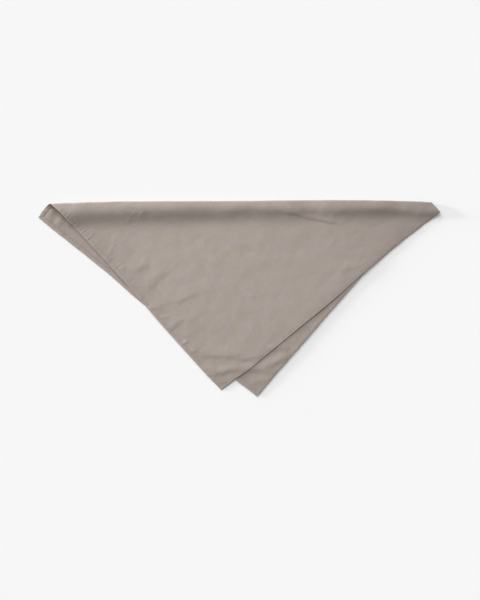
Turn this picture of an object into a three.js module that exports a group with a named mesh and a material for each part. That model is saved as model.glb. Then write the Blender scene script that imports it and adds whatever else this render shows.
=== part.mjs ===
// A square cotton neckerchief with turned hems, folded once near its diagonal and laid flat, at real size.
// Millimetres, +X along the fold to the right tip, +Y from the points to the fold, +Z up from the surface.
// The cloth is drawn flat first, as a four-sided outline in the plane of its threads: `along` runs with the
// fold and `across` is the distance over the cloth from the fold's outer edge, positive on the upper layer.
// One function then folds any point of that plane, so the cloth and its hems always fit each other.
import * as THREE from "three";

// Finished cloth
const side_upper_left = 541.2; // left tip to the upper layer's point
const side_upper_right = 554.0; // the upper layer's point to right tip
const side_lower_right = 543.2; // right tip to the lower layer's point
const side_lower_left = 558.9; // the lower layer's point to left tip
const tip_to_tip = 787.5; // over the flat cloth: washing has pulled the square a little on the bias
const left_tip_past_fold = 27.7; // how far over the fold's edge the left tip is, on the lower layer
const right_tip_past_fold = 22.7; // how far over it the right tip is, on the upper layer
const cloth_wall = 1.0;

// Hems, turned to the wrong side
const hem_width = 7.5;
const hem_wall = 1.0;
const hem_clearance = 0.3; // from a hem to the cloth and to the next hem at a corner

// Soft rolled fold and the layers' lie
const roll_height = 11.5; // outside height of the roll
const roll_depth = 10; // from the fold's outer edge back to the roll's ridge
const roll_run = 45; // from the ridge down to the flat upper layer
const fold_bow = 7.4; // how far the fold's outer edge bows out between its ends
const layer_air = 0.6; // between the layers, and between a hem and what it lies on
const drape_run = 28; // length over which the upper layer comes down beside a hem
const side_bow = 3.8; // largest bow of a side out of the straight
const bow_reach = 140; // how far into the cloth a side's bow is felt
const wrinkle_rise = 2.6;
const wrinkle_spread = 9; // half width of a wrinkle where it is at 37% of its rise

// Facets
const wrinkled_cell = 15; // on the upper layer, and near the lower layer's point
const flat_cell = 45; // across the rest of the lower layer
const flat_share = 0.66; // of the lower layer's depth that has no wrinkle
const bend_facets = 5; // in each quarter of the roll's bend
const slope_facets = 7;
const curve_samples = 48;
const row_room = 1.5; // between a row of facets and a corner's own row
const same_place = 1e-6;

// Rows run from the left end of the fold to the right: the share of its length, then the fold edge's bow, the
// roll's height, depth and run as shares of the sizes above, and the share of the run where it is steepest.
const roll_rows = [
  { along: 0.0, bow: 0.03, height: 0.92, depth: 1.1, run: 1.0, steep: 0.46 },
  { along: 0.08, bow: 0.32, height: 0.96, depth: 1.1, run: 0.93, steep: 0.44 },
  { along: 0.19, bow: 0.55, height: 1.0, depth: 0.95, run: 0.88, steep: 0.54 },
  { along: 0.3, bow: 0.63, height: 1.0, depth: 0.95, run: 0.83, steep: 0.5 },
  { along: 0.43, bow: 0.7, height: 0.97, depth: 0.94, run: 0.75, steep: 0.56 },
  { along: 0.52, bow: 0.75, height: 0.93, depth: 0.78, run: 0.74, steep: 0.42 },
  { along: 0.62, bow: 0.87, height: 0.95, depth: 0.72, run: 0.85, steep: 0.49 },
  { along: 0.74, bow: 1.0, height: 1.0, depth: 0.6, run: 1.0, steep: 0.48 },
  { along: 0.87, bow: 0.88, height: 1.0, depth: 0.58, run: 1.05, steep: 0.36 },
  { along: 0.97, bow: 0.64, height: 0.86, depth: 0.6, run: 1.0, steep: 0.46 },
  { along: 1.0, bow: 0.42, height: 0.8, depth: 0.6, run: 1.0, steep: 0.5 },
];

// Wrinkles of a layer. Each row is one crest: where it starts and ends along the fold, as a share of the cloth's
// reach from tip to tip, how far down it is, as a share of its layer's depth, and its rise and spread as shares.
const upper_wrinkles = [
  { along: [0.57, 0.69], down: [0.02, 0.07], rise: 0.35, spread: 0.5 },
  { along: [0.69, 0.785], down: [0.07, 0.13], rise: 0.45, spread: 0.6 },
  { along: [0.21, 0.245], down: [0.41, 0.34], rise: 0.5, spread: 0.9 },
  { along: [0.265, 0.32], down: [0.47, 0.37], rise: 0.8, spread: 1.0 },
  { along: [0.3, 0.41], down: [0.555, 0.465], rise: 0.8, spread: 1.1 },
  { along: [0.33, 0.365], down: [0.68, 0.62], rise: 0.6, spread: 0.8 },
  { along: [0.4, 0.54], down: [0.775, 0.795], rise: 0.8, spread: 1.2 },
  { along: [0.41, 0.5], down: [0.868, 0.875], rise: 0.9, spread: 1.0 },
  { along: [0.715, 0.79], down: [0.375, 0.32], rise: 0.7, spread: 1.1 },
];
const lower_wrinkles = [
  { along: [0.52, 0.6], down: [0.85, 0.86], rise: 0.7, spread: 0.9 },
  { along: [0.57, 0.61], down: [0.83, 0.8], rise: 0.6, spread: 0.7 },
];

// Bow of two sides out of the straight: share of the side from its first corner, and share of side_bow.
const upper_left_bow = [
  { along: 0.0, out: 0.0 },
  { along: 0.5, out: 0.05 },
  { along: 0.7, out: 0.6 },
  { along: 0.9, out: 0.6 },
  { along: 1.0, out: 0.1 },
];
const lower_left_bow = [
  { along: 0.0, out: 0.0 },
  { along: 0.1, out: 1.0 },
  { along: 0.55, out: 1.15 },
  { along: 0.7, out: 0.3 },
  { along: 0.94, out: 0.3 },
  { along: 1.0, out: 0.0 },
];

const ease = (share) => THREE.MathUtils.smoothstep(share, 0, 1);

// A column of a table at a share along it, eased from row to row.
function read(rows, column, along) {
  const next = rows.findIndex((row) => row.along >= along);
  if (next === -1) return rows[rows.length - 1][column];
  if (next === 0) return rows[0][column];
  const a = rows[next - 1];
  const b = rows[next];
  return THREE.MathUtils.lerp(a[column], b[column], ease((along - a.along) / (b.along - a.along)));
}

// The outline of the finished cloth in its own plane, from its sides and where the fold crosses it.
const tips_apart = left_tip_past_fold + right_tip_past_fold;
const tip_reach = Math.sqrt(tip_to_tip ** 2 - tips_apart ** 2);
const left_tip = new THREE.Vector2(0, -left_tip_past_fold);
const right_tip = new THREE.Vector2(tip_reach, right_tip_past_fold);
const tip_heading = Math.atan2(tips_apart, tip_reach);

// A point of the cloth from the two sides that meet there; `turn` is 1 on the upper layer, -1 on the lower.
function point_from_sides(from_left_tip, from_right_tip, turn) {
  const cosine =
    (from_left_tip ** 2 + tip_to_tip ** 2 - from_right_tip ** 2) / (2 * from_left_tip * tip_to_tip);
  const heading = tip_heading + turn * Math.acos(cosine);
  const side = new THREE.Vector2(Math.cos(heading), Math.sin(heading)).multiplyScalar(from_left_tip);
  return side.add(left_tip);
}

const upper_point = point_from_sides(side_upper_left, side_upper_right, 1);
const lower_point = point_from_sides(side_lower_left, side_lower_right, -1);
const outline = [left_tip, upper_point, right_tip, lower_point];

const fold_start = left_tip.clone().lerp(upper_point, left_tip.y / (left_tip.y - upper_point.y)).x;
const fold_end = right_tip.clone().lerp(lower_point, right_tip.y / (right_tip.y - lower_point.y)).x;

// How far inside the side from `a` to `b` a point is, in the cloth's plane. The outline runs clockwise there.
function inside(a, b, point) {
  const side = b.clone().sub(a).normalize();
  return (point.x - a.x) * side.y - (point.y - a.y) * side.x;
}

// Where the lines `distance` inside the two sides at a corner meet.
function inner_corner(before, corner, after, distance) {
  const from = before.clone().sub(corner).normalize();
  const to = after.clone().sub(corner).normalize();
  const half_angle = Math.acos(from.dot(to)) / 2;
  return from.add(to).setLength(distance / Math.sin(half_angle)).add(corner);
}

const hem_line = outline.map((corner, i) =>
  inner_corner(outline[(i + 3) % 4], corner, outline[(i + 1) % 4], hem_width),
);

// The roll at a place along the fold.
function roll_at(along) {
  const share = (along - fold_start) / (fold_end - fold_start);
  const column = (name) => read(roll_rows, name, share);
  return {
    edge: fold_bow * column("bow"),
    height: roll_height * column("height"),
    depth: roll_depth * column("depth"),
    run: roll_run * column("run"),
    ease_power: Math.log(0.5) / Math.log(column("steep")),
  };
}

// Walks a curve by its length: point_at(0) to point_at(1), and where `length` along it ends. `over` is what is
// left of the length past the curve's end.
function walk(point_at, length) {
  let here = point_at(0);
  let walked = 0;
  for (let i = 1; i <= curve_samples; i++) {
    const next = point_at(i / curve_samples);
    const step = next.distanceTo(here);
    if (walked + step >= length) {
      const share = (length - walked) / step;
      return { point: here.clone().lerp(next, share), heading: next.sub(here).normalize(), over: 0 };
    }
    walked += step;
    here = next;
  }
  return { point: here, over: length - walked };
}

// A quarter of the roll's bend, from the fold's outer edge to the ridge (turn 1) or to the surface (turn -1), in
// the upright plane across the fold: x is the distance in from the edge, y the height of the cloth's right side.
function bend_point(roll, turn, share) {
  const angle = (share * Math.PI) / 2;
  const half_height = roll.height / 2;
  return new THREE.Vector2(
    roll.depth * (1 - Math.cos(angle)),
    half_height + turn * half_height * Math.sin(angle),
  );
}

const slope_fall = (roll, share) => 0.5 + 0.5 * Math.cos(Math.PI * share ** roll.ease_power);

// How far the wrinkles of a layer lift a point of it. Its first number is the place along the fold, its second
// the distance in from the fold's edge.
function wrinkles(rows, point, depth) {
  let rise = 0;
  for (const row of rows) {
    const from = new THREE.Vector2(row.along[0] * tip_reach, row.down[0] * depth);
    const to = new THREE.Vector2(row.along[1] * tip_reach, row.down[1] * depth);
    const crest = to.clone().sub(from);
    const here = point.clone().sub(from);
    const share = THREE.MathUtils.clamp(here.dot(crest) / crest.lengthSq(), 0, 1);
    const away = here.distanceTo(crest.multiplyScalar(share)) / (wrinkle_spread * row.spread);
    rise = Math.max(rise, wrinkle_rise * row.rise * Math.exp(-away * away));
  }
  return rise;
}

// 1 over the hem of a side that is `distance` away, and half a facet beside it, easing to 0 over drape_run.
function near_hem(distance) {
  const beside = Math.max(distance - hem_width, -distance) - wrinkled_cell / 2;
  return 1 - ease(beside / drape_run);
}

// How far the bow of the side from `a` to `b` moves a point of the cloth's plane: less, the further inside it is.
function bow_out(a, b, rows, point) {
  const side = b.clone().sub(a);
  const share = point.clone().sub(a).dot(side) / side.lengthSq();
  const fade = 1 - ease(inside(a, b, point) / bow_reach);
  return new THREE.Vector2(-side.y, side.x).setLength(side_bow * read(rows, "out", share) * fade);
}

// Height of what the upper layer lies on: the surface, the lower layer with its wrinkles, and that layer's hems.
function lower_top(along, in_from_edge) {
  const under = new THREE.Vector2(along, -in_from_edge);
  const bow = bow_out(lower_point, left_tip, lower_left_bow, under);
  const from_side = Math.min(
    inside(lower_point, left_tip, under) + bow.length(),
    inside(right_tip, lower_point, under),
  );
  const down = new THREE.Vector2(along, in_from_edge);
  const on_cloth = cloth_wall + wrinkles(lower_wrinkles, down, -lower_point.y);
  const hem_rise = (hem_wall + hem_clearance) * near_hem(from_side);
  return on_cloth * ease(1 + from_side / drape_run) + hem_rise;
}

// How much the upper layer's own hems, on its underside, lift it.
function own_hem(flat) {
  const from_side = Math.min(
    inside(left_tip, upper_point, flat),
    inside(upper_point, right_tip, flat),
  );
  return (hem_wall + hem_clearance) * near_hem(from_side);
}

// Folds a point of the cloth's plane. `inset` is its distance from the cloth's right side into the fold.
function fold(flat, inset) {
  const point = flat
    .clone()
    .add(bow_out(left_tip, upper_point, upper_left_bow, flat))
    .add(bow_out(lower_point, left_tip, lower_left_bow, flat));
  const roll = roll_at(point.x);
  const upper = point.y >= 0;
  const bend = walk((share) => bend_point(roll, upper ? 1 : -1, share), Math.abs(point.y));
  let { point: place, heading } = bend;
  let lift = 0;
  if (bend.over > 0 && upper) {
    const below = lower_top(point.x, roll.depth + bend.over) + layer_air + own_hem(flat);
    const level = below + cloth_wall;
    const slope = walk(
      (share) =>
        new THREE.Vector2(
          roll.depth + roll.run * share,
          level + (roll.height - level) * slope_fall(roll, share),
        ),
      bend.over,
    );
    place = slope.point.clone();
    place.x += slope.over;
    heading = slope.over > 0 ? new THREE.Vector2(1, 0) : slope.heading;
    const down = new THREE.Vector2(point.x, place.x);
    lift = wrinkles(upper_wrinkles, down, upper_point.y);
  } else if (bend.over > 0) {
    place = place.clone();
    place.x += bend.over;
    heading = new THREE.Vector2(1, 0);
    const down = new THREE.Vector2(point.x, place.x);
    lift = wrinkles(lower_wrinkles, down, -lower_point.y);
  }
  const to_wrong_side = upper ? -1 : 1;
  return new THREE.Vector3(
    point.x,
    roll.edge - place.x - inset * heading.y * -to_wrong_side,
    place.y + lift + inset * heading.x * to_wrong_side,
  );
}

// Places across the cloth where its facets meet: close together in the bend, wider apart where it lies flat.
function facet_rows() {
  const nominal = { height: roll_height, depth: roll_depth };
  let bend_length = 0;
  for (let i = 0; i < curve_samples; i++)
    bend_length += bend_point(nominal, 1, i / curve_samples).distanceTo(
      bend_point(nominal, 1, (i + 1) / curve_samples),
    );
  const rows = [];
  for (let i = -bend_facets; i <= bend_facets; i++) rows.push((bend_length * i) / bend_facets);
  for (let i = 1; i <= slope_facets; i++) rows.push(bend_length + (roll_run * i) / slope_facets);
  const first_flat = bend_length + roll_run;
  const wrinkled_from = lower_point.y * flat_share;
  rows.push(...places_between(first_flat, upper_point.y, wrinkled_cell).slice(1, -1));
  rows.push(...places_between(wrinkled_from, -bend_length, flat_cell).slice(0, -1));
  rows.push(...places_between(lower_point.y, wrinkled_from, wrinkled_cell).slice(1, -1));
  return rows;
}

// Where a level line across the cloth meets a convex outline: its left and right ends.
function span(corners, across) {
  const ends = [];
  corners.forEach((a, i) => {
    const b = corners[(i + 1) % corners.length];
    const share = (across - a.y) / (b.y - a.y);
    if (share >= 0 && share <= 1) ends.push(a.x + (b.x - a.x) * share);
  });
  return [Math.min(...ends), Math.max(...ends)];
}

// The rows of one outline: those of its corners, and the common ones that don't crowd them.
function rows_in(corners, common, room) {
  const own = corners.map((corner) => corner.y);
  const low = Math.min(...own);
  const high = Math.max(...own);
  const between = common.filter(
    (row) => row > low && row < high && own.every((other) => Math.abs(other - row) > room),
  );
  return [...new Set([...own, ...between])].sort((a, b) => a - b);
}

// A wall of cloth between two insets, folded. Each row holds stretches, and each stretch its places along the
// fold. Stretches of neighbouring rows are joined facet by facet, so a hem's facets match those of the cloth.
function folded_wall(rows, from_inset, to_inset) {
  const flat = [];
  const found = new Map();
  const vertex = (along, across) => {
    const key = along.toFixed(4) + "," + across.toFixed(4);
    if (!found.has(key)) found.set(key, flat.push(new THREE.Vector2(along, across)) - 1);
    return found.get(key);
  };
  const facets = [];
  const joined = rows.map((row) =>
    row.stretches.map((places) => places.map((along) => vertex(along, row.across))),
  );
  const facet = (a, b, c) => {
    if (a !== b && b !== c && c !== a) facets.push([a, b, c]);
  };
  for (let r = 0; r + 1 < joined.length; r++) {
    joined[r].forEach((near, s) => {
      const far = joined[r + 1][s];
      let i = 0;
      let j = 0;
      while (i + 1 < near.length || j + 1 < far.length) {
        const near_is_behind = (i + 1) * (far.length - 1) <= (j + 1) * (near.length - 1);
        const step_near = j + 1 === far.length || (i + 1 < near.length && near_is_behind);
        if (step_near) facet(near[i], far[j], near[++i]);
        else facet(near[i], far[j], far[++j]);
      }
    });
  }
  const left = joined.map((row) => row[0][0]);
  const right = joined.map((row) => row[row.length - 1].at(-1));
  const rim = [...left, ...right.reverse()].filter((v, i, all) => v !== all[(i + 1) % all.length]);
  const count = flat.length;
  const index = facets.flat();
  for (const [a, b, c] of facets) index.push(c + count, b + count, a + count);
  rim.forEach((a, i) => {
    const b = rim[(i + 1) % rim.length];
    index.push(b, a, a + count, b, a + count, b + count);
  });
  const places = [from_inset, to_inset].flatMap((inset) => flat.map((point) => fold(point, inset)));
  const geometry = new THREE.BufferGeometry().setFromPoints(places);
  geometry.setIndex(index);
  geometry.computeVertexNormals();
  return geometry;
}

// Evenly spaced places from `from` to `to`, about `spacing` apart.
function places_between(from, to, spacing) {
  const count = Math.max(1, Math.round((to - from) / spacing));
  return Array.from({ length: count + 1 }, (_, i) => from + ((to - from) * i) / count);
}

// The two ends of a stretch, or one place where they are the same.
const ends = (from, to) => (to - from < same_place ? [from] : [from, to]);

// The cloth: each row has the width of a hem at both ends, and its middle between the two.
function cloth_geometry(common) {
  const low_hem_corner = hem_line[3];
  const high_hem_corner = hem_line[1];
  const rows = rows_in([...outline, ...hem_line], common, row_room).map((across) => {
    const [left, right] = span(outline, across);
    let middle = [];
    if (across > high_hem_corner.y || across < low_hem_corner.y) {
      const [corner, hem_corner] =
        across > 0 ? [upper_point, high_hem_corner] : [lower_point, low_hem_corner];
      const share = (across - corner.y) / (hem_corner.y - corner.y);
      middle = [THREE.MathUtils.lerp(corner.x, hem_corner.x, share)];
    } else {
      const [hem_left, hem_right] = span(hem_line, across);
      const narrow = hem_right - hem_left < same_place;
      middle = narrow ? [hem_left] : places_between(hem_left, hem_right, wrinkled_cell);
    }
    return { across, stretches: [ends(left, middle[0]), middle, ends(middle.at(-1), right)] };
  });
  return folded_wall(rows, 0, cloth_wall);
}

// The hem inside the side from corner `i` to the next, mitred at both ends with a clearance to its neighbours.
function hem_geometry(i, common) {
  const next = (i + 1) % 4;
  const side = outline[next].clone().sub(outline[i]);
  const back = side.setLength(hem_clearance * Math.SQRT1_2);
  const corners = [
    outline[i].clone().add(back),
    outline[next].clone().sub(back),
    hem_line[next].clone().sub(back),
    hem_line[i].clone().add(back),
  ];
  const rows = rows_in(corners, common, same_place).map((across) => {
    const [left, right] = span(corners, across);
    return { across, stretches: [ends(left, right)] };
  });
  const inset = cloth_wall + hem_clearance;
  return folded_wall(rows, inset, inset + hem_wall);
}

const cloth_material = new THREE.MeshStandardMaterial({ color: "#a69c94", roughness: 0.95 });
const hem_material = new THREE.MeshStandardMaterial({ color: "#978d85", roughness: 0.95 });

const neckerchief = new THREE.Group();

function add_piece(name, geometry, material) {
  const mesh = new THREE.Mesh(geometry, material);
  mesh.name = name;
  neckerchief.add(mesh);
}

const common_rows = facet_rows();
add_piece("cloth", cloth_geometry(common_rows), cloth_material);
const hem_names = ["hem_upper_left", "hem_upper_right", "hem_lower_right", "hem_lower_left"];
hem_names.forEach((name, i) => add_piece(name, hem_geometry(i, common_rows), hem_material));

// The origin is the middle of the part's box, on the surface that it lies on.
const box = new THREE.Box3().setFromObject(neckerchief);
const middle = box.getCenter(new THREE.Vector3());
neckerchief.position.set(-middle.x, -middle.y, -box.min.z);

export default neckerchief;
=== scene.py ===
import math

import bmesh
import bpy
import numpy as np
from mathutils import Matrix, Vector, noise


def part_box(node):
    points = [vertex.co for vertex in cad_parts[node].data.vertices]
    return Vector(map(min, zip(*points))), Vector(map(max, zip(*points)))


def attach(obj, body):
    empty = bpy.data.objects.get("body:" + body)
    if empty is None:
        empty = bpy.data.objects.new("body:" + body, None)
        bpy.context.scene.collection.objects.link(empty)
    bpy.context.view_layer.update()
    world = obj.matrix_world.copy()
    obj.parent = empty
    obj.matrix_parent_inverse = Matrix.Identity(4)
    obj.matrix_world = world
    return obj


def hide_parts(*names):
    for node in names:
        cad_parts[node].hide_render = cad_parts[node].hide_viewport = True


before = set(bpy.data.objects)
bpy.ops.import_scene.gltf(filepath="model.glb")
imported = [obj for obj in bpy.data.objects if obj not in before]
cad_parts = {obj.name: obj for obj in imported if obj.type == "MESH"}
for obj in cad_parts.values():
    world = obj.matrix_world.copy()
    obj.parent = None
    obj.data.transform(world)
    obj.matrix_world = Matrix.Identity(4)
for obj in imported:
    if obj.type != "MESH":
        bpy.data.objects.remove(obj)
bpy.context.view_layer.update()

# The cloth
# A square of plain-woven cotton, dyed grey-taupe and washed soft, folded once near its diagonal into a
# triangle. It is one piece: the lower layer lies on its right side, a soft roll is the fold, and the upper
# layer comes down from the roll over the lower one. Lengths are metres where nothing else is said.

# The finished square, laid out flat. Washing has pulled it a little on the bias, so no two sides are equal.
SIDE_UPPER_LEFT = 0.5412  # left tip to the upper layer's point
SIDE_UPPER_RIGHT = 0.5540  # the upper layer's point to the right tip
SIDE_LOWER_RIGHT = 0.5432  # right tip to the lower layer's point
SIDE_LOWER_LEFT = 0.5589  # the lower layer's point to the left tip
TIP_TO_TIP = 0.7875
LEFT_TIP_PAST_FOLD = 0.0277  # the left tip stays on the lower layer
RIGHT_TIP_PAST_FOLD = 0.0227  # the right tip stays on the upper layer

CLOTH_THICKNESS = 0.00022
HEM_WIDTH = 0.0075
HEM_THICKNESS = 0.00044  # two more thicknesses of the cloth
HEM_EDGE_RADIUS = (CLOTH_THICKNESS + HEM_THICKNESS) / 2

# How the layers lie
LAYER_ROOM = 0.0003  # height that one layer takes up
HEM_ROOM = 0.00045  # height that a hem adds
HEM_DRAPE = 0.040  # length over which the upper layer comes down beside a hem that it lies on
DRAPE_RUN = 0.060  # length over which it comes down to the floor past the lower layer
SIDE_BOW = 0.0038  # how far washing has bowed a side, where its share is 1
BOW_REACH = 0.140  # how far inside a side the cloth still follows its bow
EDGE_LIFT = 0.0016  # how far the lower layer stands off the floor along its lower right side
LIFT_REACH = 0.150
UPPER_EDGE_LIFT = 0.0024  # how far the upper layer stands off the lower one along its upper left side
UPPER_LIFT_REACH = 0.060
PUCKER_RISE = 0.00020  # small gathers that the stitching has drawn up beside the upper left hem
PUCKER_LENGTHS = (0.0061, 0.0087)  # two lengths of ripple, so that the gathers are uneven
PUCKER_REACH = 0.0090
COCKLE_SIZE = 0.035  # the slight unevenness of washed cotton that nobody has ironed
COCKLE_RISE = 0.00042
COCKLE_SMOOTHNESS = 0.8
COCKLE_FINER = 2.2  # it has three sizes on top of one another, each this much finer than the last
COCKLE_SIZES = 3
TURN_RADIUS = 0.0012  # the cloth turns over tightly at the top of the roll
ROLL_UNDER = 0.0120  # from the fold's outer edge back to where the lower layer reaches the floor
ROLL_CROWN = 0.0300  # from the ridge down to where the upper layer is steepest
ROLL_FOOT = 0.0300  # from there to where it lies flat
FOLD_BOW = 0.0074  # how far the fold's outer edge bows out, where its share is 1
FOLD_SHIFT = 0.0021  # cloth that the roll has drawn in from the upper layer

# The roll from the left end of the fold to the right: shares of FOLD_BOW, ROLL_CROWN and ROLL_FOOT, the
# slope where it is steepest, the slope up from its outer edge to its ridge, how late it steepens, and how
# long its foot runs on: less is longer
ROLL_SHAPE = {
    "along": (0.00, 0.04, 0.10, 0.19, 0.31, 0.43, 0.52, 0.62, 0.68, 0.74, 0.80, 0.87, 0.93, 0.97, 1.00),
    "bow": (0.04, 0.26, 0.45, 0.63, 0.71, 0.75, 0.81, 0.93, 1.00, 1.02, 0.97, 0.88, 0.77, 0.66, 0.44),
    "crown": (1.15, 1.15, 1.00, 0.98, 0.89, 0.89, 0.76, 0.83, 0.80, 0.83, 0.80, 0.71, 0.82, 0.90, 0.82),
    "foot": (0.90, 0.90, 0.83, 0.94, 1.15, 0.72, 1.02, 0.95, 0.88, 0.85, 0.95, 1.05, 0.66, 0.62, 0.60),
    "steepest": (0.32, 0.32, 0.38, 0.39, 0.40, 0.38, 0.36, 0.34, 0.28, 0.34, 0.42, 0.45, 0.44, 0.38, 0.34),
    "rim": (0.13, 0.14, 0.12, 0.10, 0.14, 0.12, 0.14, 0.11, 0.11, 0.05, 0.09, 0.12, 0.13, 0.13, 0.13),
    "delay": (1.40, 1.40, 1.35, 1.20, 1.20, 1.15, 1.15, 1.30, 1.60, 1.50, 1.50, 1.55, 2.00, 1.95, 1.90),
    "gentle": (1.00, 1.00, 0.90, 0.85, 0.80, 0.90, 0.70, 0.70, 0.70, 0.85, 0.65, 0.55, 0.50, 0.50, 0.50),
}

# How far each side bows out of the straight, as shares of the side and of SIDE_BOW
UPPER_LEFT_BOW = {
    "along": (0, 0.025, 0.05, 0.12, 0.5, 0.7, 0.9, 1),
    "out": (0.3, 0.9, 0.9, 0.2, 0.05, 0.6, 0.5, 0),
}
UPPER_RIGHT_BOW = {
    "along": (0, 0.05, 0.12, 0.3, 0.5, 0.7, 0.8, 0.93, 1),
    "out": (-1.0, -0.85, 0.1, 0.25, 0.55, -0.4, -0.7, -0.5, 0),
}
LOWER_RIGHT_BOW = {"along": (0, 0.37, 0.5, 0.7, 0.9, 1), "out": (0, -0.85, -0.95, -1.2, -1.15, -0.7)}
LOWER_LEFT_BOW = {"along": (0, 0.1, 0.3, 0.55, 0.7, 0.94, 1), "out": (-0.45, 0.1, 0.75, 0.9, 0.1, 0, 0)}

# How far two of the sides stand off, and how high the gathers are, as shares of the side and of the sizes
# above
LOWER_RIGHT_LIFT = {"along": (0, 0.25, 0.45, 0.8, 1), "lift": (0, 0.3, 1, 1, 0.4)}
UPPER_LEFT_LIFT = {"along": (0.05, 0.12, 0.25, 0.4, 0.62, 1), "lift": (0, 1, 1, 0.6, 0, 0)}
PUCKERS = {"along": (0, 0.10, 0.15, 0.23, 0.32, 1), "rise": (0.1, 0.2, 1, 1, 0.3, 0.15)}

# Wrinkles: the crest's points from left to right, counted in steps right of the left tip and down from the
# fold's top, then its rise, its width above and its width below, all three in millimetres
WRINKLE_STEP = 0.001957
MILLIMETRE = 0.001
WRINKLE_FADE = 4.5  # over 4, so that a wrinkle has its full rise in the middle and fades towards its ends
UPPER_WRINKLES = (
    # the crease that runs slantwise off the roll
    (((240, 10), (261, 14.8), (271, 17.6), (283, 19.7), (296, 22.2), (308, 24.6)), 0.95, 8.0, 3.2),
    # drawn in from the upper left side
    (((70, 57), (77, 40)), 0.13, 3.4, 2.8),
    (((88, 23), (97, 11)), 0.2, 2.6, 2.6),
    (((99, 19.5), (106, 10)), 0.2, 2.6, 2.6),
    (((90, 75), (95, 70), (104, 65), (112, 62)), 0.55, 10.0, 6.0),
    (((80, 67), (86, 70)), 0.3, 6.0, 3.5),
    (((104, 92), (113, 85), (121, 75), (131, 69)), 0.50, 13.0, 6.5),
    (((121, 101), (137, 100), (146, 97.5), (166, 88)), 0.55, 14.0, 6.5),
    (((109, 107.5), (125, 107)), 0.5, 8.0, 5.0),
    (((121, 117), (130, 117.5)), 0.3, 4.0, 2.6),
    (((127, 131), (137, 124), (147, 117)), 0.60, 9.0, 5.5),
    (((141, 146), (150, 140.5)), 0.45, 4.0, 2.8),
    (((151, 150.5), (159, 151.5)), 0.3, 4.0, 2.6),
    # across the upper layer's point
    (
        ((148, 142), (157, 149), (168, 154.5), (196, 155.5), (204, 158.5), (216, 156), (232, 152)),
        1.10,
        17.0,
        5.5,
    ),
    (((160, 165), (178, 172), (183, 171.5), (189, 169.5), (210, 167.5)), 0.95, 9.0, 5.0),
    (((166, 174), (180, 175.5)), 0.4, 4.0, 3.0),
    (((177, 182), (189, 182)), 0.25, 4.0, 3.0),
    # near the upper right side
    (((297, 71), (311, 67), (327, 64)), 0.35, 10.0, 6.0),
)
LOWER_WRINKLES = (
    # across the lower layer's point
    (((200, 170), (219, 168), (225, 169), (238, 174)), 1.05, 10.0, 5.5),
    (((221, 167), (234, 163.5), (252, 155)), 0.75, 9.0, 5.5),
    (((227, 148), (252, 147)), 0.6, 9.0, 5.5),
    (((211, 181), (234, 180)), 0.6, 7.0, 5.0),
    # on the left flap, where it comes out of the roll
    (((9, 24), (12, 15), (15, 5)), 0.8, 8.0, 6.0),
    (((18, 28), (25, 14)), 0.4, 7.0, 5.0),
    (((16, 21), (27, 22.5), (33, 27)), 0.5, 6.0, 5.0),
)

tips_apart = LEFT_TIP_PAST_FOLD + RIGHT_TIP_PAST_FOLD
tip_reach = math.sqrt(TIP_TO_TIP**2 - tips_apart**2)
left_tip = np.array((0.0, -LEFT_TIP_PAST_FOLD))
right_tip = np.array((tip_reach, RIGHT_TIP_PAST_FOLD))


def point_from_sides(from_left_tip, from_right_tip, turn):
    """A point of the flat cloth, from the two sides that meet there; turn is 1 on the upper layer."""
    cosine = (from_left_tip**2 + TIP_TO_TIP**2 - from_right_tip**2) / (2 * from_left_tip * TIP_TO_TIP)
    heading = math.atan2(tips_apart, tip_reach) + turn * math.acos(cosine)
    return left_tip + from_left_tip * np.array((math.cos(heading), math.sin(heading)))


upper_point = point_from_sides(SIDE_UPPER_LEFT, SIDE_UPPER_RIGHT, 1)
lower_point = point_from_sides(SIDE_LOWER_LEFT, SIDE_LOWER_RIGHT, -1)
outline = (left_tip, upper_point, right_tip, lower_point)
fold_start = np.interp(0, (left_tip[1], upper_point[1]), (left_tip[0], upper_point[0]))
fold_end = np.interp(0, (lower_point[1], right_tip[1]), (lower_point[0], right_tip[0]))


def eased(share):
    share = np.clip(share, 0, 1)
    return share * share * (3 - 2 * share)


def read(table, column, along):
    """A table's column at places along it, eased from one row to the next."""
    rows = np.array(table["along"], float)
    values = np.array(table[column], float)
    after = np.clip(np.searchsorted(rows, along), 1, len(rows) - 1)
    share = eased((along - rows[after - 1]) / (rows[after] - rows[after - 1]))
    return values[after - 1] + (values[after] - values[after - 1]) * share


def inside(start, end, x, y):
    """How far inside the side from start to end the points are."""
    side = (end - start) / np.linalg.norm(end - start)
    return (x - start[0]) * side[1] - (y - start[1]) * side[0]


def share_along(start, end, x, y):
    side = end - start
    return ((x - start[0]) * side[0] + (y - start[1]) * side[1]) / side.dot(side)


def bow_out(start, end, table, x, y):
    """How far the bow of a side moves points out, less the further inside they are."""
    fade = 1 - eased(inside(start, end, x, y) / BOW_REACH)
    return SIDE_BOW * read(table, "out", share_along(start, end, x, y)) * fade


SIDES = (
    (left_tip, upper_point, UPPER_LEFT_BOW),
    (upper_point, right_tip, UPPER_RIGHT_BOW),
    (right_tip, lower_point, LOWER_RIGHT_BOW),
    (lower_point, left_tip, LOWER_LEFT_BOW),
)


def bowed(x, y):
    """Points of the square with straight sides, moved to where washing has pulled them."""
    moved_x = np.copy(x)
    moved_y = np.copy(y)
    for start, end, table in SIDES:
        out = bow_out(start, end, table, x, y) / np.linalg.norm(end - start)
        moved_x -= out * (end - start)[1]
        moved_y += out * (end - start)[0]
    return moved_x, moved_y


def inside_lower(x, y):
    """How far inside the lower layer's two sides the points are."""
    return np.minimum(*(inside(*side[:2], x, y) + bow_out(*side, x, y) for side in SIDES[2:]))


def near_hem(distance):
    """1 over the hem of a side that is this far away, and less beside it."""
    return 1 - eased(np.maximum(distance - HEM_WIDTH, -distance) / HEM_DRAPE)


# The folded cloth lies in the same box as its solid
cloth_low, cloth_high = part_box("cloth")


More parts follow.
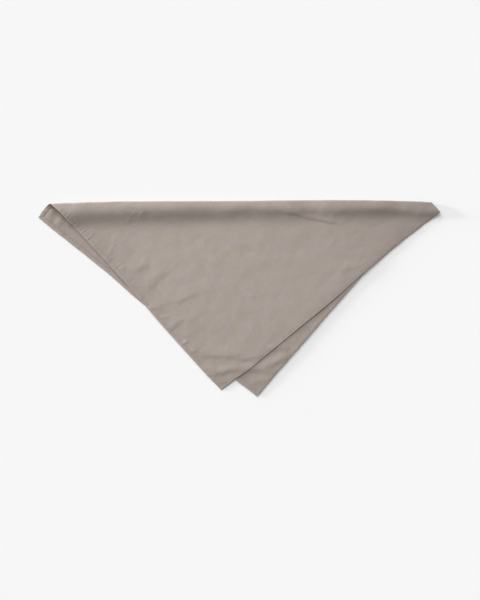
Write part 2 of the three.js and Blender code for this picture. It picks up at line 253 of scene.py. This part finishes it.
def from_crest(points, x, down):
    """How far places are from a wrinkle's crest, whether they are below it, and how far along it they are,
    from 0 to 1. The places are x from the left tip and down from the fold's top."""
    nearest = np.full_like(x, np.inf)
    below = np.zeros(len(x), bool)
    along = np.zeros_like(x)
    corners = np.array(points) * WRINKLE_STEP
    lengths = np.hypot(*np.diff(corners, axis=0).T)
    for i, length in enumerate(lengths):
        crest_x, crest_down = (corners[i + 1] - corners[i]) / length
        past_x = x - corners[i, 0]
        past_down = down - corners[i, 1]
        walked = np.clip(past_x * crest_x + past_down * crest_down, 0, length)
        away = np.hypot(past_x - walked * crest_x, past_down - walked * crest_down)
        closer = away < nearest
        nearest = np.where(closer, away, nearest)
        below = np.where(closer, crest_x * past_down - crest_down * past_x > 0, below)
        along = np.where(closer, (lengths[:i].sum() + walked) / lengths.sum(), along)
    return nearest, below, along


def wrinkle_lift(wrinkles, x, down):
    """How far the wrinkles of a layer lift its points: each fades towards both its ends."""
    lift = np.zeros_like(x)
    for points, rise, above_width, below_width in wrinkles:
        away, below, along = from_crest(points, x, down)
        width = np.where(below, below_width, above_width) * MILLIMETRE
        fade = eased(WRINKLE_FADE * along * (1 - along))
        lift = lift + rise * MILLIMETRE * fade * np.exp(-((away / width) ** 2))
    return lift


def upper_left_lift(x, y):
    """How far the upper layer lifts along its upper left side, with the gathers by the hem."""
    inwards = inside(left_tip, upper_point, x, y)
    along = share_along(left_tip, upper_point, x, y)
    lift = UPPER_EDGE_LIFT * read(UPPER_LEFT_LIFT, "lift", along) * (1 - eased(inwards / UPPER_LIFT_REACH))
    length = along * SIDE_UPPER_LEFT
    ripple = sum(np.sin(math.tau * length / ripple_length) for ripple_length in PUCKER_LENGTHS) / 2
    beside = np.exp(-(((inwards - HEM_WIDTH) / PUCKER_REACH) ** 2))
    return lift + PUCKER_RISE * read(PUCKERS, "rise", along) * ripple * beside


def cockle(x, y):
    """How far the cloth's unevenness lifts it."""
    places = np.stack((x, y), axis=1) / COCKLE_SIZE
    kind = (COCKLE_SMOOTHNESS, COCKLE_FINER, COCKLE_SIZES)
    return COCKLE_RISE * np.array([noise.fractal((*place, 0.0), *kind) for place in places])


def lower_lift(x, y, down):
    """How far the lower layer stands off the floor."""
    reach = 1 - eased(inside(right_tip, lower_point, x, y) / LIFT_REACH)
    lift = read(LOWER_RIGHT_LIFT, "lift", share_along(right_tip, lower_point, x, y))
    return wrinkle_lift(LOWER_WRINKLES, x, down) + EDGE_LIFT * lift * reach


CURVE_SAMPLES = 64


def way_down(crown, foot, steepest, rim, delay, gentle):
    """The upper layer's way down from the roll: places in from the ridge, and the height left there."""
    samples = np.linspace(0, 1, CURVE_SAMPLES + 1)[None, :]
    across = (crown + foot)[:, None] * samples
    steepened = eased((across / crown[:, None]) ** delay[:, None])
    on_crown = -rim[:, None] + (steepest + rim)[:, None] * steepened
    past_crown = np.clip((across - crown[:, None]) / foot[:, None], 0, 1)
    on_foot = steepest[:, None] * (1 + np.cos(math.pi * past_crown ** gentle[:, None])) / 2
    slopes = np.where(across < crown[:, None], on_crown, on_foot)
    falls = (slopes[:, 1:] + slopes[:, :-1]) / 2 * np.diff(across)
    high = np.cumsum(falls[:, ::-1], axis=1)[:, ::-1]
    return across, np.concatenate((high, np.zeros_like(high[:, :1])), axis=1)


def walk(x, z, length):
    """Where each length along its curve ends, the heading there, and what is left past the curve's end."""
    step_x = np.diff(x)
    step_z = np.diff(z)
    steps = np.hypot(step_x, step_z)
    walked = np.concatenate((np.zeros((len(steps), 1)), np.cumsum(steps, axis=1)), axis=1)
    last = np.minimum((walked[:, 1:] < length[:, None]).sum(axis=1), CURVE_SAMPLES - 1)
    row = np.arange(len(length))
    share = np.minimum((length - walked[row, last]) / steps[row, last], 1)
    at_x = x[row, last] + share * step_x[row, last]
    at_z = z[row, last] + share * step_z[row, last]
    heading = (step_x[row, last] / steps[row, last], step_z[row, last] / steps[row, last])
    return at_x, at_z, heading, np.maximum(length - walked[:, -1], 0)


def fold(x, y, inset):
    """Folds points of the flat cloth, given as x along the fold and y across it, into places in the frame.
    inset is how far each point is from the cloth's right side towards its wrong side."""
    flat_x, flat_y = bowed(x, y - FOLD_SHIFT)
    share = (flat_x - fold_start) / (fold_end - fold_start)
    edge = FOLD_BOW * read(ROLL_SHAPE, "bow", share)
    crown = ROLL_CROWN * read(ROLL_SHAPE, "crown", share)
    foot = ROLL_FOOT * read(ROLL_SHAPE, "foot", share)
    slopes = (read(ROLL_SHAPE, column, share) for column in ("steepest", "rim", "delay", "gentle"))
    across, high = way_down(crown, foot, *slopes)
    height = 2 * LAYER_ROOM + HEM_ROOM + high[:, 0]
    upper = flat_y >= 0
    turn = np.where(upper, 1, -1)

    # The bend: from the fold's outer edge a tight turn up to the ridge, or a wide sweep down to the floor
    bend_width = np.where(upper, TURN_RADIUS, ROLL_UNDER)
    bend_height = np.where(upper, TURN_RADIUS, height - TURN_RADIUS)
    angle = np.linspace(0, math.pi / 2, CURVE_SAMPLES + 1)[None, :]
    bend_x = bend_width[:, None] * (1 - np.cos(angle))
    bend_z = (height - TURN_RADIUS)[:, None] + (turn * bend_height)[:, None] * np.sin(angle)
    bend_in, bend_z, bend_heading, over = walk(bend_x, bend_z, np.abs(flat_y))

    # The upper layer: down from the ridge to what it lies on
    in_from_edge = TURN_RADIUS + over
    from_lower_side = inside_lower(flat_x, -in_from_edge)
    under_down = in_from_edge + FOLD_BOW - edge
    on_lower = LAYER_ROOM + lower_lift(flat_x, -in_from_edge, under_down)
    on_lower = on_lower * eased(1 + from_lower_side / DRAPE_RUN) + HEM_ROOM * near_hem(from_lower_side)
    level = on_lower + LAYER_ROOM + HEM_ROOM
    slope_z = level[:, None] + (height - level)[:, None] * high / high[:, :1]
    slope_in, slope_z, slope_heading, slope_over = walk(TURN_RADIUS + across, slope_z, over)
    past_bend = over > 0
    on_slope = past_bend & upper
    on_floor = past_bend & ~upper
    past_slope = on_slope & (slope_over > 0)
    distance_in = np.where(on_slope, slope_in + slope_over, bend_in + np.where(on_floor, over, 0))
    z = np.where(on_slope, slope_z, bend_z)
    heading_in = np.where(on_slope, slope_heading[0], bend_heading[0])
    heading_z = np.where(on_slope, slope_heading[1], bend_heading[1])
    flat = on_floor | past_slope
    heading_in = np.where(flat, 1, heading_in)
    heading_z = np.where(flat, 0, heading_z)

    down = distance_in + FOLD_BOW - edge
    upper_lift = wrinkle_lift(UPPER_WRINKLES, flat_x, down) + upper_left_lift(x, y)
    z = z + np.where(on_slope, upper_lift + cockle(x, y), 0)
    z = z + np.where(on_floor, lower_lift(flat_x, -distance_in, down) + np.maximum(cockle(x, y), 0), 0)
    return np.stack(
        (
            cloth_low.x + flat_x,
            cloth_high.y - FOLD_BOW + edge - distance_in - turn * inset * heading_z,
            z - turn * inset * heading_in,
        ),
        axis=1,
    )


# The cloth's cells, which are halved beside the hems, in the bend and in the wrinkles, and halved once more
# close to the hems and in the narrowest wrinkles
GRID_CELL = 0.0044
FINE_BY_HEM = 0.016
FINEST_BY_HEM = 0.009
BEND_REACH = 0.012
WRINKLE_MARGIN = 0.004
NARROW_WRINKLE = 10  # millimetres
NARROWEST_WRINKLE = 4  # millimetres


def flat_place(s, t):
    """A point of the flat cloth: s from the left tip towards the upper point, t towards the lower point."""
    weights = ((1 - s) * (1 - t), s * (1 - t), s * t, (1 - s) * t)
    place = sum(np.outer(weight, corner) for weight, corner in zip(weights, outline))
    return place[:, 0], place[:, 1]


def subdivided_where(mesh, wanted):
    """Cuts in four the cells of a flat mesh whose middle is wanted."""
    middles = np.array([face.calc_center_median()[:2] for face in mesh.faces])
    chosen = wanted(middles[:, 0], middles[:, 1])
    mesh.faces.ensure_lookup_table()
    edges = {edge for face, keep in zip(mesh.faces, chosen) if keep for edge in face.edges}
    bmesh.ops.subdivide_edges(mesh, edges=list(edges), cuts=1, use_grid_fill=True)


def from_side(s, t):
    """How far places of the flat cloth are from its nearest side."""
    return np.minimum(
        np.minimum(s, 1 - s) * SIDE_UPPER_LEFT,
        np.minimum(t, 1 - t) * SIDE_LOWER_LEFT,
    )


def in_bend(s, t):
    return np.abs(flat_place(s, t)[1]) < BEND_REACH


def in_wrinkle(s, t, narrower):
    """Whether cells are in a wrinkle whose lower side is narrower than this many millimetres."""
    x, y = flat_place(s, t)
    wanted = np.zeros(len(x), bool)
    for layer, wrinkles in ((1, UPPER_WRINKLES), (-1, LOWER_WRINKLES)):
        for points, _, _, width in wrinkles:
            if width < narrower:
                reach = WRINKLE_MARGIN + 2 * width * MILLIMETRE
                wanted |= from_crest(points, x, layer * y)[0] < reach
    return wanted


def unit_grid(x_cells, y_cells):
    """A flat mesh of so many cells whose x and y run from 0 to 1."""
    grid = bmesh.new()
    bmesh.ops.create_grid(grid, x_segments=x_cells, y_segments=y_cells, size=0.5)
    bmesh.ops.translate(grid, verts=grid.verts, vec=(0.5, 0.5, 0))
    return grid


cloth_mesh = unit_grid(round(SIDE_UPPER_LEFT / GRID_CELL), round(SIDE_LOWER_LEFT / GRID_CELL))
thread_map = cloth_mesh.loops.layers.uv.new("threads")
subdivided_where(
    cloth_mesh,
    lambda s, t: (from_side(s, t) < FINE_BY_HEM) | in_bend(s, t) | in_wrinkle(s, t, NARROW_WRINKLE),
)
subdivided_where(
    cloth_mesh,
    lambda s, t: (from_side(s, t) < FINEST_BY_HEM) | in_wrinkle(s, t, NARROWEST_WRINKLE),
)
for face in cloth_mesh.faces:
    face.smooth = True
    for loop in face.loops:
        loop[thread_map].uv = (loop.vert.co.x * SIDE_UPPER_LEFT, loop.vert.co.y * SIDE_LOWER_LEFT)
thread_places = np.array([vert.co[:2] for vert in cloth_mesh.verts])
# The cloth ends just inside the round edge of its hems
edge_s = HEM_EDGE_RADIUS / SIDE_UPPER_LEFT
edge_t = HEM_EDGE_RADIUS / SIDE_LOWER_LEFT
cloth_s = edge_s + thread_places[:, 0] * (1 - 2 * edge_s)
cloth_t = edge_t + thread_places[:, 1] * (1 - 2 * edge_t)
flat_x, flat_y = flat_place(cloth_s, cloth_t)
for vert, place in zip(cloth_mesh.verts, fold(flat_x, flat_y, np.zeros(len(flat_x)))):
    vert.co = place


def linear(hex_colour):
    """An sRGB hex colour as linear red, green, blue and alpha."""
    parts = [int(hex_colour[i : i + 2], 16) / 255 for i in (1, 3, 5)]
    return [c / 12.92 if c <= 0.04045 else ((c + 0.055) / 1.055) ** 2.4 for c in parts] + [1]


def add_node(tree, kind, settings, inputs):
    """Adds a node, sets it, and fills its inputs with numbers or with other nodes' outputs."""
    made = tree.nodes.new("ShaderNode" + kind)
    for name, value in settings.items():
        setattr(made, name, value)
    for name, value in inputs.items():
        if isinstance(value, bpy.types.NodeSocket):
            tree.links.new(value, made.inputs[name])
        else:
            made.inputs[name].default_value = value
    return made


# Washed plain-weave cotton: matt, with a faint bloom of loose fibres, slubs where a thread is thicker, and
# patches where the dye took a little warmer or cooler. The real threads are 0.42 mm apart.
THREAD_SPACING = 0.00042
WEAVE_RELIEF = 0.00004
SLUB_LENGTH = 0.018
SLUB_WIDTH = 0.0016  # real slubs are one thread wide, too fine to show: these are four times as coarse
SLUB_RELIEF = 0.00005
PATCH = 0.022
# At a scale of 1 the wave texture draws 20 bands in tau units, and at this one a band in each unit
ONE_BAND_SCALE = math.tau / 20
# Painted shade: the folded cloth's colour is lightest round a place left of its middle and painted a shade
# darker further out, for light that falls off away from there.
PAINTED_LIGHT_MIDDLE = (-0.130, 0.100, 0.0)
PAINTED_FALLOFF_REACH = (0.330, 0.260, 1.0)
PAINTED_FALLOFF_POWER = 1.5
PAINTED_FALLOFF_DEPTH = 0.12
# Painted shade: the colour is painted a little darker beside the hems.
PAINTED_SIDE_SHADE_REACH = 0.045
PAINTED_SIDE_SHADE = 0.035


def cotton(name, warm, cool):
    """Washed cotton whose dye runs between a warm and a cool tone, with painted shade that darkens it away
    from a lit place and beside the hems.
    """
    material = bpy.data.materials.new(name)
    material.use_nodes = True
    tree = material.node_tree
    shader = tree.nodes["Principled BSDF"]
    shader.inputs["Roughness"].default_value = 0.92
    shader.inputs["Specular IOR Level"].default_value = 0.25
    shader.inputs["Sheen Weight"].default_value = 0.12
    shader.inputs["Sheen Roughness"].default_value = 0.5
    threads = add_node(tree, "UVMap", {"uv_map": "threads"}, {}).outputs["UV"]

    def stretched_noise(size, detail):
        scaled = add_node(tree, "Mapping", {}, {"Vector": threads, "Scale": [1 / s for s in size]})
        made = add_node(tree, "TexNoise", {}, {"Vector": scaled.outputs[0], "Scale": 1, "Detail": detail})
        return made.outputs["Fac"]

    def arithmetic(operation, first, second):
        made = add_node(tree, "Math", {"operation": operation}, {0: first, 1: second})
        return made.outputs[0]

    patches = stretched_noise((PATCH, PATCH, PATCH), 4)
    warp_slubs = stretched_noise((SLUB_LENGTH, SLUB_WIDTH, 1), 1)
    weft_slubs = stretched_noise((SLUB_WIDTH, SLUB_LENGTH, 1), 1)
    slubs = arithmetic("ADD", warp_slubs, weft_slubs)
    spread = add_node(
        tree,
        "MapRange",
        {},
        {"Value": patches, "From Min": 0.35, "From Max": 0.65},
    )
    dyed = add_node(
        tree,
        "Mix",
        {"data_type": "RGBA"},
        {"Factor": spread.outputs[0], "A": linear(warm), "B": linear(cool)},
    )
    tone = add_node(
        tree,
        "MapRange",
        {},
        {"Value": slubs, "From Min": 0.6, "From Max": 1.4, "To Min": 0.95, "To Max": 1.05},
    )
    shaded = add_node(
        tree,
        "VectorMath",
        {"operation": "SCALE"},
        {0: dyed.outputs["Result"], "Scale": tone.outputs[0]},
    )
    # Painted shade: the colour is darkened with distance from a lit place, in the object's own coordinates
    from_middle = add_node(
        tree,
        "Mapping",
        {},
        {
            "Vector": add_node(tree, "TexCoord", {}, {}).outputs["Object"],
            "Location": [-middle / reach for middle, reach in zip(PAINTED_LIGHT_MIDDLE, PAINTED_FALLOFF_REACH)],
            "Scale": [1 / reach for reach in PAINTED_FALLOFF_REACH],
        },
    )
    distance = add_node(tree, "VectorMath", {"operation": "LENGTH"}, {0: from_middle.outputs[0]})
    painted_falloff = arithmetic("POWER", distance.outputs["Value"], PAINTED_FALLOFF_POWER)
    painted_light_share = arithmetic("SUBTRACT", 1.0, arithmetic("MULTIPLY", painted_falloff, PAINTED_FALLOFF_DEPTH))
    place = add_node(tree, "SeparateXYZ", {}, {"Vector": threads})
    from_sides = [
        arithmetic("MINIMUM", place.outputs[axis], arithmetic("SUBTRACT", length, place.outputs[axis]))
        for axis, length in (("X", SIDE_UPPER_LEFT), ("Y", SIDE_LOWER_LEFT))
    ]
    from_nearest_side = arithmetic("MINIMUM", *from_sides)
    # Painted shade: the colour is darkened close to the nearest side
    painted_side_shade = add_node(
        tree,
        "MapRange",
        {},
        {"Value": from_nearest_side, "From Max": PAINTED_SIDE_SHADE_REACH, "To Min": PAINTED_SIDE_SHADE, "To Max": 0},
    )
    painted_light_share = arithmetic("SUBTRACT", painted_light_share, painted_side_shade.outputs[0])
    painted_light_colour = add_node(tree, "VectorMath", {"operation": "SCALE"}, {0: shaded.outputs[0], "Scale": painted_light_share})
    tree.links.new(painted_light_colour.outputs[0], shader.inputs["Base Color"])

    def thread_bands(direction):
        scaled = add_node(
            tree,
            "Mapping",
            {},
            {"Vector": threads, "Scale": [1 / THREAD_SPACING] * 3},
        )
        made = add_node(
            tree,
            "TexWave",
            {"bands_direction": direction},
            {"Vector": scaled.outputs[0], "Scale": ONE_BAND_SCALE},
        )
        return made.outputs["Fac"]

    over_under = add_node(
        tree,
        "TexChecker",
        {},
        {"Vector": threads, "Scale": 1 / THREAD_SPACING},
    )
    weave = add_node(
        tree,
        "Mix",
        {},
        {"Factor": over_under.outputs["Fac"], "A": thread_bands("X"), "B": thread_bands("Y")},
    )
    weave_bump = add_node(
        tree,
        "Bump",
        {},
        {"Height": weave.outputs["Result"], "Strength": 1, "Distance": WEAVE_RELIEF},
    )
    slub_bump = add_node(
        tree,
        "Bump",
        {},
        {
            "Height": slubs,
            "Strength": 1,
            "Distance": SLUB_RELIEF,
            "Normal": weave_bump.outputs[0],
        },
    )
    tree.links.new(slub_bump.outputs[0], shader.inputs["Normal"])
    return material


def add_piece(name, mesh, materials):
    """Makes a finished piece of a bmesh, with its place in its mesh."""
    data = bpy.data.meshes.new(name)
    mesh.to_mesh(data)
    mesh.free()
    for material in materials:
        data.materials.append(material)
    piece = bpy.data.objects.new(name, data)
    bpy.context.scene.collection.objects.link(piece)
    return piece


right_side = cotton("washed cotton, right side", "#A79C91", "#A79B96")
wrong_side = cotton("washed cotton, wrong side", "#A69B90", "#A69A95")
cloth = add_piece("cotton_cloth", cloth_mesh, (right_side, wrong_side))
wall = cloth.modifiers.new("cloth wall", "SOLIDIFY")
wall.thickness = CLOTH_THICKNESS
wall.offset = -1
wall.material_offset = 1
wall.use_even_offset = False
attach(cloth, "root")
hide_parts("cloth")

# The hems
# Each side of the square is turned twice to the wrong side, so a hem is two more thicknesses of the same
# cotton. It wraps the cloth's edge round, and is pressed down and stitched near its inner fold.
STITCH_LINE = 0.0063  # from the edge
GROOVE_DEPTH = 0.00016  # the stitching presses a groove into the hem
GROOVE_HALF_WIDTH = 0.0007
GROOVE_SIDE = 0.7  # how much of its depth the groove has half way to its middle
HEM_STEP = 0.0016  # length of a cell along the hem
ROUND_FACETS = 6
HEM_MERGE = 1e-7  # points closer than this are one
HEM_GAP = 0.00005  # between the hem and the cloth that it is turned on to
TOP_PLACES = (0.25, 0.5, 0.7)  # shares of its width at which the section has points, on top and beneath
UNDER_PLACES = (0.6, 0.3)
HEM_NAMES = ("upper_left", "upper_right", "lower_right", "lower_left")

hem_top = CLOTH_THICKNESS + HEM_THICKNESS


def half_round(radius):
    """Points round a strip's edge, as places in from the edge and up from its lower face."""
    turns = np.linspace(0, 1, ROUND_FACETS + 1) * math.pi
    return [(radius * (1 - math.sin(turn)), radius * (1 - math.cos(turn))) for turn in turns]


def hem_section():
    """The hem's section as places in from the edge and inset from the right side, all the way round it."""
    top = [(HEM_WIDTH * share, hem_top) for share in TOP_PLACES]
    groove = [
        (STITCH_LINE - GROOVE_HALF_WIDTH, hem_top),
        (STITCH_LINE - GROOVE_HALF_WIDTH / 2, hem_top - GROOVE_DEPTH * GROOVE_SIDE),
        (STITCH_LINE, hem_top - GROOVE_DEPTH),
        (STITCH_LINE + GROOVE_HALF_WIDTH / 2, hem_top - GROOVE_DEPTH * GROOVE_SIDE),
    ]
    inner_round = half_round((HEM_THICKNESS - HEM_GAP) / 2)
    inner = [(HEM_WIDTH - place_in, hem_top - place_down) for place_in, place_down in inner_round]
    under = [(HEM_WIDTH * share, CLOTH_THICKNESS + HEM_GAP) for share in UNDER_PLACES]
    beside = HEM_EDGE_RADIUS + HEM_GAP
    beside_cloth = [(beside, CLOTH_THICKNESS + HEM_GAP), (beside, 0)]
    return half_round(HEM_EDGE_RADIUS) + top + groove + inner + under + beside_cloth


def inner_corner(i, distance):
    """Where the lines that lie this far inside the two sides at a corner meet."""
    corner = outline[i]
    before = outline[i - 1] - corner
    after = outline[(i + 1) % 4] - corner
    before = before / np.linalg.norm(before)
    after = after / np.linalg.norm(after)
    half_angle = math.acos(before.dot(after)) / 2
    middle = (before + after) / np.linalg.norm(before + after)
    return corner + middle * distance / math.sin(half_angle)


def beside_side(i, share, distance):
    """Flat places along side i at a share of its length, this far in from it, mitred at both corners."""
    inwards = distance[:, None] / HEM_WIDTH
    start, end = (
        outline[corner] + (inner_corner(corner, HEM_WIDTH) - outline[corner]) * inwards
        for corner in (i, (i + 1) % 4)
    )
    place = start + (end - start) * share[:, None]
    return place[:, 0], place[:, 1]


def rolled_up(mesh, merge_distance):
    """Joins the seam of a grid that has been rolled into a tube, and closes the tube's ends."""
    bmesh.ops.remove_doubles(mesh, verts=mesh.verts, dist=merge_distance)
    open_ends = [edge for edge in mesh.edges if edge.is_boundary]
    bmesh.ops.holes_fill(mesh, edges=open_ends, sides=0)
    bmesh.ops.recalc_face_normals(mesh, faces=mesh.faces)
    return mesh


hem_cotton = cotton("washed cotton, turned hem", "#A69C91", "#A69A96")
section = np.array(hem_section())
for i, hem_name in enumerate(HEM_NAMES):
    length = np.linalg.norm(outline[(i + 1) % 4] - outline[i])
    hem_mesh = unit_grid(round(length / HEM_STEP), len(section))
    hem_threads = hem_mesh.loops.layers.uv.new("threads")
    for face in hem_mesh.faces:
        face.smooth = True
        for loop in face.loops:
            round_hem = loop.vert.co.y * 2 * HEM_WIDTH
            loop[hem_threads].uv = (loop.vert.co.x * length, round_hem)
    share = np.array([vert.co.x for vert in hem_mesh.verts])
    corner_number = np.array([round(vert.co.y * len(section)) % len(section) for vert in hem_mesh.verts])
    x, y = beside_side(i, share, section[corner_number, 0])
    for vert, place in zip(hem_mesh.verts, fold(x, y, section[corner_number, 1])):
        vert.co = place
    hem = add_piece("turned_hem_" + hem_name, rolled_up(hem_mesh, HEM_MERGE), (hem_cotton,))
    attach(hem, "root")
    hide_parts("hem_" + hem_name)

# The stitching
# A lockstitch in grey-taupe cotton thread holds each hem, about six stitches to 20 mm. The thread runs on
# both sides of the cloth, and dives into it at each end of a stitch.
STITCH_PITCH = 0.0032
STITCH_SHARE = 0.8  # of the pitch in which the thread shows
THREAD_RADIUS = 0.00015
THREAD_STANDS = 0.00006  # how far the middle of the thread stands out of the cloth
THREAD_DIVES = 0.00036  # how far it goes down from there between two stitches
THREAD_MERGE = 1e-8  # points of the thread closer than this are one
RINGS_PER_STITCH = 6
THREAD_SIDES = 5

stitch_mesh = bmesh.new()
for i in range(4):
    length = np.linalg.norm(outline[(i + 1) % 4] - outline[i])
    stitch_count = round((length - 2 * STITCH_LINE) / STITCH_PITCH)
    for surface, outwards in ((0.0, -1), (hem_top - GROOVE_DEPTH, 1)):
        row = unit_grid(stitch_count * RINGS_PER_STITCH, THREAD_SIDES)
        share = np.array([vert.co.x for vert in row.verts])
        angle = np.array([round(vert.co.y * THREAD_SIDES) % THREAD_SIDES for vert in row.verts])
        angle = angle * math.tau / THREAD_SIDES
        in_stitch = np.abs((share * stitch_count) % 1 - 0.5) * 2
        dive = eased((in_stitch - STITCH_SHARE) / (1 - STITCH_SHARE))
        middle = surface + outwards * (THREAD_STANDS - THREAD_DIVES * dive)
        margin = STITCH_LINE / length
        x, y = beside_side(
            i,
            margin + share * (1 - 2 * margin),
            STITCH_LINE + THREAD_RADIUS * np.cos(angle),
        )
        for vert, place in zip(row.verts, fold(x, y, middle + THREAD_RADIUS * np.sin(angle))):
            vert.co = place
        rolled_up(row, THREAD_MERGE)
        row_data = bpy.data.meshes.new("stitch row")
        row.to_mesh(row_data)
        row.free()
        stitch_mesh.from_mesh(row_data)
        bpy.data.meshes.remove(row_data)
for face in stitch_mesh.faces:
    face.smooth = True

# Spun cotton sewing thread: two plies twisted together, matt, the colour of the cloth
TWIST_SCALE = 900  # to the metre
thread = bpy.data.materials.new("cotton sewing thread")
thread.use_nodes = True
thread_shader = thread.node_tree.nodes["Principled BSDF"]
thread_shader.inputs["Roughness"].default_value = 0.8
thread_shader.inputs["Sheen Weight"].default_value = 0.1
twist_coordinates = add_node(thread.node_tree, "TexCoord", {}, {})
twist = add_node(
    thread.node_tree,
    "TexNoise",
    {},
    {"Vector": twist_coordinates.outputs["Object"], "Scale": TWIST_SCALE, "Detail": 1},
)
thread_colour = add_node(
    thread.node_tree,
    "Mix",
    {"data_type": "RGBA"},
    {"Factor": twist.outputs["Fac"], "A": linear("#958B83"), "B": linear("#A59B93")},
)
thread.node_tree.links.new(thread_colour.outputs["Result"], thread_shader.inputs["Base Color"])
stitches = add_piece("hem_stitches", stitch_mesh, (thread,))
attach(stitches, "root")

# The floor, the light and the camera
# A matt white table top, a broad soft light from the upper left, white all round, and a camera that looks
# straight down from above, as the photograph does.
FLOOR_SIZE = 8.0
FLOOR_BELOW = 0.00025  # so that the stitches on the underside don't go into it
floor_mesh = bmesh.new()
bmesh.ops.create_grid(floor_mesh, x_segments=1, y_segments=1, size=FLOOR_SIZE / 2)
bmesh.ops.translate(floor_mesh, verts=floor_mesh.verts, vec=(0, 0, -FLOOR_BELOW))
white_top = bpy.data.materials.new("matt white table top")
white_top.use_nodes = True
white_shader = white_top.node_tree.nodes["Principled BSDF"]
white_shader.inputs["Base Color"].default_value = linear("#F3F3F3")
white_shader.inputs["Roughness"].default_value = 1
white_shader.inputs["Specular IOR Level"].default_value = 0
floor = add_piece("floor", floor_mesh, (white_top,))

# Each light's name, the compass angle that it comes from (0 is the right, 90 the top of the picture), its
# height angle, its width, all in degrees, and the share of the floor's light that it gives
LIGHTS = (
    ("soft key light", 116, 24, 44, 0.50),
    ("low light", 168, 4.5, 5, 0.11),
)
FLOOR_LIGHT = 1.035  # light on the floor that makes it as white as the photograph's
for light_name, compass, up, width, share in LIGHTS:
    sun = bpy.data.lights.new(light_name, "SUN")
    sun.energy = math.pi * FLOOR_LIGHT * share / math.sin(math.radians(up))
    sun.angle = math.radians(width)
    lamp = bpy.data.objects.new(light_name, sun)
    towards = Vector((
        math.cos(math.radians(compass)) * math.cos(math.radians(up)),
        math.sin(math.radians(compass)) * math.cos(math.radians(up)),
        math.sin(math.radians(up)),
    ))
    lamp.rotation_euler = towards.to_track_quat("Z", "Y").to_euler()
    lamp.location = towards * 2
    bpy.context.scene.collection.objects.link(lamp)

world = bpy.data.worlds.new("white all round")
bpy.context.scene.world = world
world.use_nodes = True
world.node_tree.nodes["Background"].inputs["Color"].default_value = (1, 1, 1, 1)
world_share = 1 - sum(share for *_, share in LIGHTS)
world.node_tree.nodes["Background"].inputs["Strength"].default_value = FLOOR_LIGHT * world_share
bpy.context.scene.view_settings.view_transform = "Standard"

PICTURE_HEIGHT = 1.1742  # height of floor that the picture takes in
LENS = 85
SENSOR = 36
PICTURE_MIDDLE = (0.0010, -0.0027)
camera_data = bpy.data.cameras.new("camera")
camera_data.lens = LENS
camera_data.sensor_width = SENSOR
camera_data.clip_end = 20
camera = bpy.data.objects.new("camera", camera_data)
camera.location = (*PICTURE_MIDDLE, PICTURE_HEIGHT * LENS / SENSOR)
bpy.context.scene.collection.objects.link(camera)
bpy.context.scene.camera = camera
